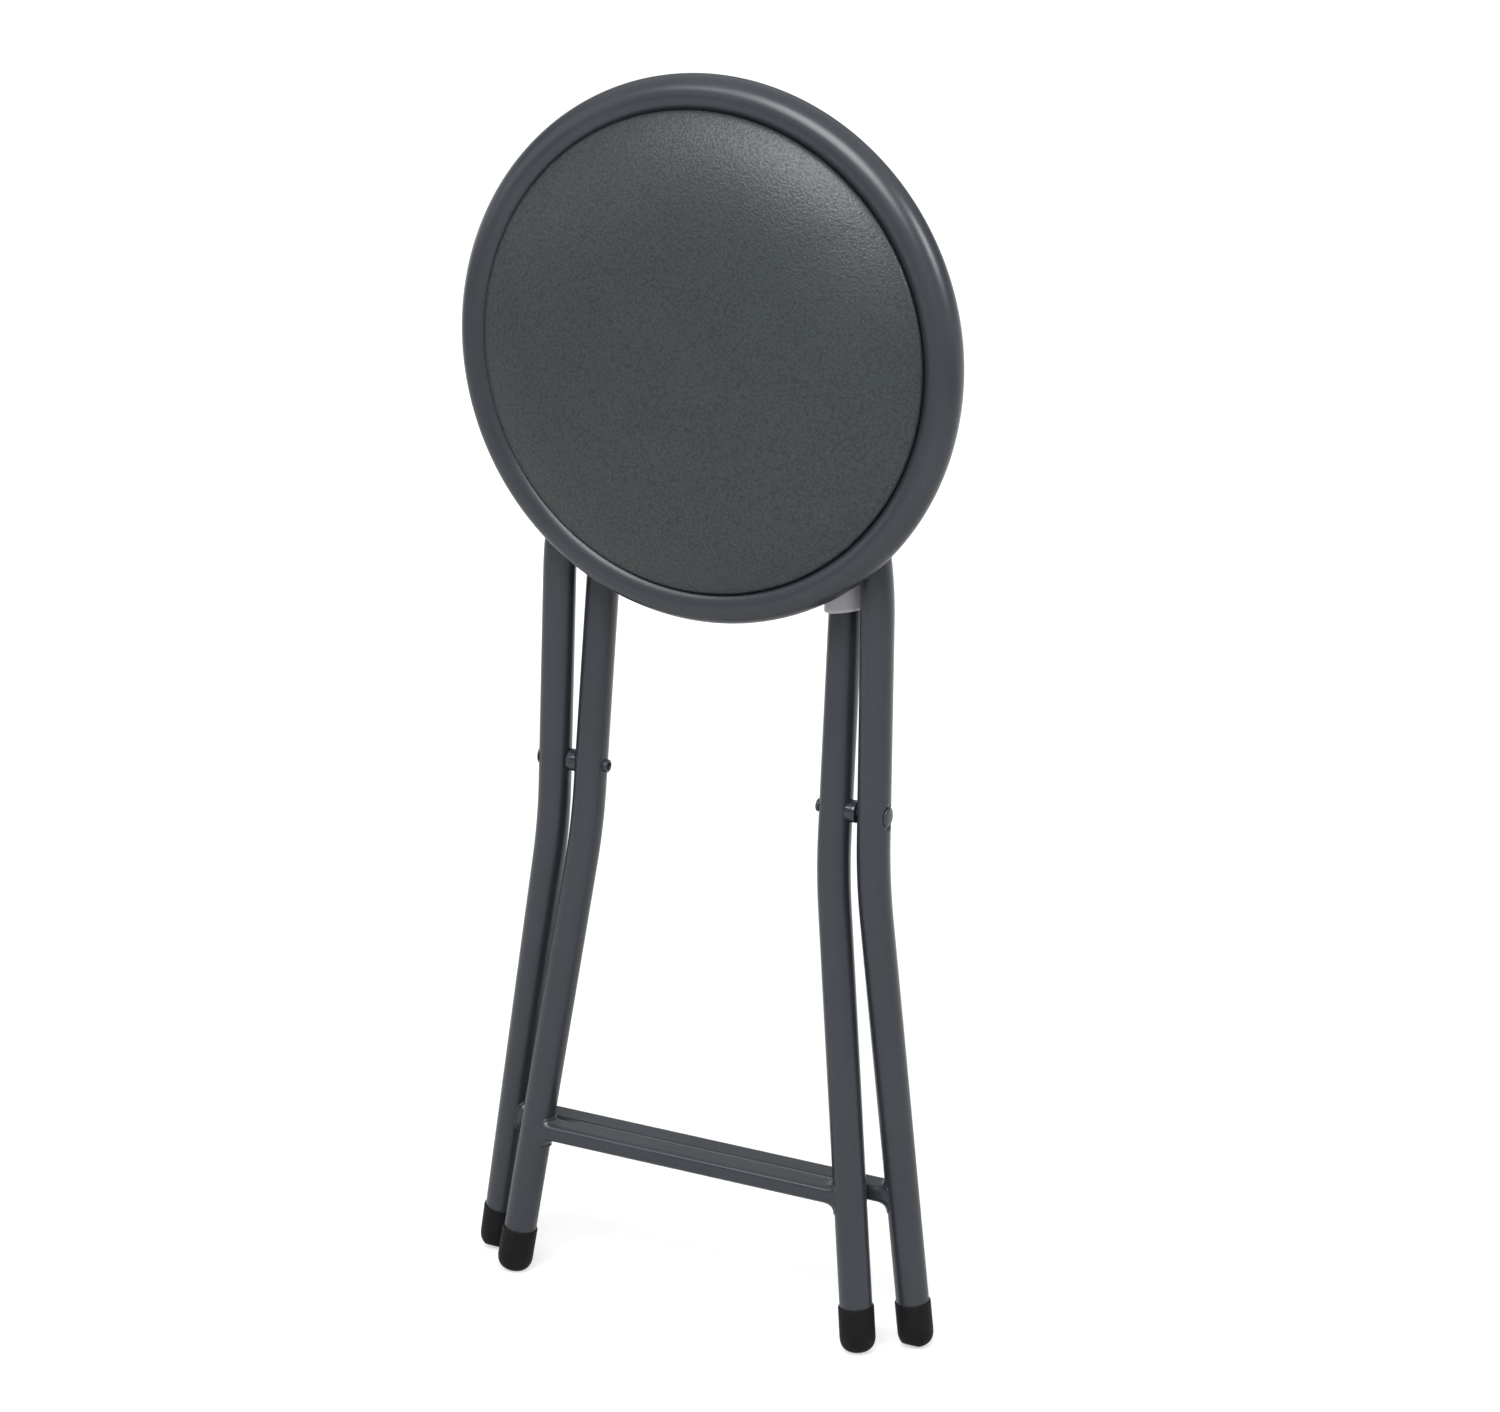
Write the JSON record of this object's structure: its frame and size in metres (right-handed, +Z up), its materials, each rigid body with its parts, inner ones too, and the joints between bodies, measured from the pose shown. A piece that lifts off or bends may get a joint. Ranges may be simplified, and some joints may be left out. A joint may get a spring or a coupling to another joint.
{
  "type": "folding stool",
  "caption": "Folding stool stored folded: crossed bent tube frames on a riveted pivot carry a round padded seat that swings from upright to level as the legs open.",
  "frame": {"origin": "middle of the folded stool's box, on the floor", "axes": "+Z up along the folded legs, +X to the stool's right along the pivot axis, -Y towards the side that the pad faces when folded"},
  "size_m": [0.302, 0.0832, 0.7218],
  "materials": {
    "coat": "satin powder coat",
    "vinyl": "fine grained vinyl",
    "foam": "open cell foam",
    "plywood": "bare",
    "rubber": "matte",
    "sleeve": "satin",
    "zinc": "zinc plated",
    "nylon": "moulded"
  },
  "bodies": {
    "pivot": {"pivot_rivet_left": "coat", "pivot_rivet_right": "coat"},
    "outer": {"outer_frame": "coat", "outer_crossbar": "coat", "outer_foot_left": "rubber", "outer_foot_right": "rubber"},
    "inner": {"inner_frame": "coat", "inner_crossbar": "coat", "inner_foot_left": "rubber", "inner_foot_right": "rubber", "inner_sleeve": "sleeve", "pivot_spacer_left": "nylon", "pivot_spacer_right": "nylon"},
    "seat": {"seat_ring": "coat", "seat_cover": "vinyl", "seat_foam": "foam", "seat_board": "plywood", "ring_tab_1": "coat", "ring_tab_2": "coat", "ring_tab_3": "coat", "ring_tab_4": "coat", "tab_screw_1": "zinc", "tab_screw_2": "zinc", "tab_screw_3": "zinc", "tab_screw_4": "zinc", "hinge_strap_left": "zinc", "hinge_strap_right": "zinc", "strap_screw_1": "zinc", "strap_screw_2": "zinc", "strap_screw_3": "zinc", "strap_screw_4": "zinc", "seat_catch": "zinc", "catch_screw_1": "zinc", "catch_screw_2": "zinc"}
  },
  "joints": [
    {"name": "frame_fold", "type": "hinge", "parent": "pivot", "child": "outer", "pos_m": [0, 0.01905, 0.31714], "axis": [1, 0, 0], "range_deg": [0, 28.73]},
    {"name": "inner_fold", "type": "hinge", "parent": "pivot", "child": "inner", "pos_m": [0, 0.01905, 0.31714], "axis": [-1, 0, 0], "range_deg": [0, 28.73]},
    {"name": "seat_tilt", "type": "hinge", "parent": "outer", "child": "seat", "pos_m": [0, 0.01194, 0.49699], "axis": [-1, 0, 0], "range_deg": [0, 119.15]}
  ],
  "couplings": [
    {"joint": "inner_fold", "follows": "frame_fold", "ratio": 1},
    {"joint": "seat_tilt", "follows": "frame_fold", "ratio": 4.147}
  ]
}
